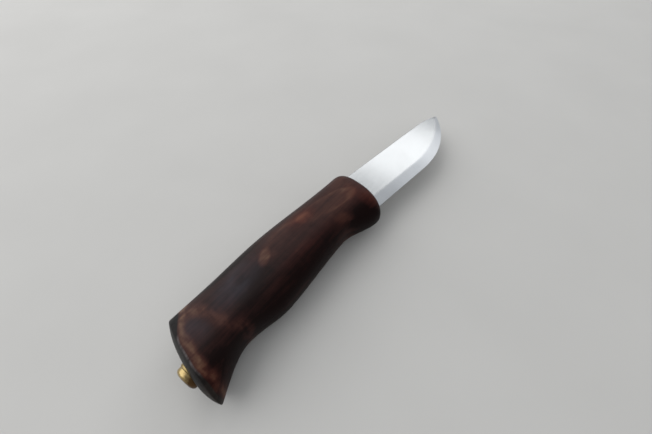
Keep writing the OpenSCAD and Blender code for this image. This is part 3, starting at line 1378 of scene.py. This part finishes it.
@dataclass
class Fittings:
    """Washer and nut, turned on the axis of the tang's end, and the adhesive round the tang."""

    tang: Tang
    washer_bevel: float = 0.4
    nut_d: float = 9.8
    nut_h: float = 2.7
    nut_edge: float = 1.5
    nut_crown: float = 0.25
    stud_short: float = 1.0
    thread_gap: float = 0.1
    steps: int = 72
    edge_steps: int = 8
    crease_angle: float = 35.0
    # The washer's brass is darker than the nut's: partly tarnish, partly painted shade at the
    # washer's edge
    washer_tarnish_and_shade_color: Color = (0.36, 0.27, 0.12)
    washer_dull_and_shade: Color = (0.045, 0.028, 0.012)
    washer_roughness: float = 0.32

    def build(self) -> list[bpy.types.Object]:
        """Builds the washer and the nut and dresses the adhesive's CAD node.

        Returns:
            The pieces.
        """
        axis = -self.tang.stud_drop
        polished = BrassFinish("polished_brass", axis)
        # Darker brass for the washer: tarnish and painted shade
        tarnished_and_shaded = BrassFinish(
            "tarnished_and_shaded_brass", axis, self.washer_tarnish_and_shade_color, self.washer_dull_and_shade, self.washer_roughness,
        )
        washer = self.turned("tang_washer", self.washer_profile(), tarnished_and_shaded)
        nut = self.turned("tang_nut", self.nut_profile(), polished)
        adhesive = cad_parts["tang_bedding"]
        adhesive.data.materials.clear()
        adhesive.data.materials.append(AdhesiveFinish().material())
        return [washer, nut, adhesive]

    def washer_profile(self) -> list[Point2]:
        """Outline of the washer's section: places and radii, closed."""
        low, high, r = self.tang.seat_at, self.tang.nut_at, self.tang.washer_d / 2
        bore = (self.tang.shank_d + self.tang.fit_clear) / 2
        rim = [(high - self.washer_bevel, r), (high, r - self.washer_bevel)]
        return [(low, bore), (low, r), *rim, (high, bore), (low, bore)]

    def nut_profile(self) -> list[Point2]:
        """Outlines the nut's section, from the crown round to the end of the bore.

        Returns:
            Places and radii.
        """
        base, r = self.tang.nut_at, self.nut_d / 2
        top = base + self.nut_h
        crown_r = (r**2 + self.nut_crown**2) / (2 * self.nut_crown)
        shoulder, flat_r = top - self.nut_crown - self.nut_edge, r - self.nut_edge
        head = []
        for i in range(self.edge_steps + 1):
            y = flat_r * i / self.edge_steps
            head.append((top - crown_r + math.sqrt(crown_r**2 - y**2), y))
        for i in range(1, self.edge_steps + 1):
            turn = math.pi / 2 * i / self.edge_steps
            out, up = self.nut_edge * math.cos(turn), self.nut_edge * math.sin(turn)
            head.append((shoulder + out, flat_r + up))
        bore = (self.tang.stud_d + self.thread_gap) / 2
        bore_end = base - self.stud_short + self.tang.fit_clear
        shank, inner = self.tang.shank_d / 2, self.tang.shank_in
        stem = [(base, shank), (inner, shank), (inner, bore), (bore_end, bore), (bore_end, 0.0)]
        return [*head, (base, r), *stem]

    def turned(self, node: str, profile: Sequence[Point2], finish: BrassFinish) -> bpy.types.Object:
        """Spins a section round the axis.

        Args:
            node: Name of the node that the piece stands for.
            profile: Places and radii of the section.
            finish: Finish of the piece.

        Returns:
            The piece.
        """
        mesh = bmesh.new()
        drop = self.tang.stud_drop
        verts = [mesh.verts.new(Vector((-place, r - drop, 0)) * MM) for place, r in profile]
        edges = [mesh.edges.new(pair) for pair in zip(verts, verts[1:])]
        bmesh.ops.spin(
            mesh, geom=[*verts, *edges], cent=Vector((0, -drop, 0)) * MM, axis=TO_TIP,
            dvec=(0, 0, 0), angle=2 * math.pi, steps=self.steps, use_merge=True,
            use_duplicate=False,
        )
        bmesh.ops.remove_doubles(mesh, verts=mesh.verts, dist=MERGE)
        crease(mesh, self.crease_angle)
        return finished_piece(node, mesh, finish.material())


@dataclass(frozen=True)
class Panel:
    """Soft panel lamp that faces the knife, hung in degrees from +X towards +Y and up."""

    name: str
    azimuth: float
    elevation: float
    distance: float
    width: float
    height: float
    radiance: float

    def hang(self) -> None:
        """Adds the lamp to the scene."""
        lamp = bpy.data.lights.new(self.name, "AREA")
        lamp.shape = "RECTANGLE"
        lamp.size, lamp.size_y = self.width, self.height
        lamp.energy = self.radiance * math.pi * self.width * self.height
        a, e = math.radians(self.azimuth), math.radians(self.elevation)
        toward = Vector((math.cos(e) * math.cos(a), math.cos(e) * math.sin(a), math.sin(e)))
        facing = toward.to_track_quat("Z", "Y").to_matrix().to_4x4()
        holder = bpy.data.objects.new(self.name, lamp)
        holder.matrix_world = Matrix.Translation(toward * self.distance) @ facing
        bpy.context.scene.collection.objects.link(holder)


@dataclass
class Studio:
    """Plain pale floor, soft light and the photograph's viewpoint."""

    floor_stops: Stops = ((0.3, (0.576, 0.5616, 0.5376)), (0.7, (0.60, 0.585, 0.56)))
    floor_r: float = 6.0
    floor_sides: int = 96
    floor_roughness: float = 0.8
    floor_cloud: Grain = Grain(70.0, 1.0, 4.0)
    sky_color: Color = (0.92, 0.96, 1.0)
    sky_strength: float = 0.52
    panels: tuple[Panel, ...] = (
        Panel(
            "window", azimuth=13, elevation=37.5, distance=0.9,
            width=0.74, height=0.25, radiance=1.65,
        ),
        Panel(
            "key", azimuth=110, elevation=41, distance=1.2,
            width=2.50, height=1.60, radiance=1.15,
        ),
    )
    eye: Triple = (-106.24, -58.63, 133.0)
    look: Triple = (0.4868, 0.3769, -0.7880)
    right: Triple = (0.6122, -0.7907, 0.0)
    lens: float = 18.0
    sensor: float = 36.0
    clip_start: float = 0.005

    def build(self) -> None:
        """Makes the floor, the sky, the lamps and the camera."""
        self.floor()
        self.sky()
        for panel in self.panels:
            panel.hang()
        self.camera()

    def floor(self) -> None:
        """Lays the floor under the knife's lowest point."""
        g = Graph("pale_floor")
        clouds = g.ramp(g.grain(self.floor_cloud), self.floor_stops)
        g.set(Base_Color=clouds, Roughness=self.floor_roughness)
        mesh = bmesh.new()
        bmesh.ops.create_circle(mesh, cap_ends=True, segments=self.floor_sides, radius=self.floor_r)
        bmesh.ops.translate(mesh, verts=mesh.verts, vec=(0, 0, CAD_BOX[0].z))
        floor = linked_object("floor", mesh)
        floor.data.materials.append(g.material)

    def sky(self) -> None:
        """Sets an even sky."""
        world = bpy.data.worlds.new("even_sky")
        world.use_nodes = True
        sky = world.node_tree.nodes["Background"]
        sky.inputs["Color"].default_value = (*self.sky_color, 1.0)
        sky.inputs["Strength"].default_value = self.sky_strength
        bpy.context.scene.world = world

    def camera(self) -> None:
        """Puts the camera where the photograph was taken."""
        lens = bpy.data.cameras.new("camera")
        lens.sensor_fit = "HORIZONTAL"
        lens.sensor_width = self.sensor
        lens.lens = self.lens
        lens.clip_start = self.clip_start
        right, back = Vector(self.right).normalized(), -Vector(self.look).normalized()
        turn = Matrix((right, back.cross(right), back)).transposed().to_4x4()
        holder = bpy.data.objects.new("camera", lens)
        holder.matrix_world = Matrix.Translation(Vector(self.eye) * MM) @ turn
        bpy.context.scene.collection.objects.link(holder)
        bpy.context.scene.camera = holder
        bpy.context.scene.view_settings.view_transform = "Standard"


def main() -> None:
    """Builds the knife's pieces and the studio."""
    logging.basicConfig(level=logging.INFO, format="%(name)s: %(message)s")
    tang = Tang()
    for piece in [Blade(tang).build(), Handle(tang).build(), *Fittings(tang).build()]:
        LOG.info("%s: %d faces", piece.name, len(piece.data.polygons))
    Studio().build()


if __name__ == "__main__":
    main()
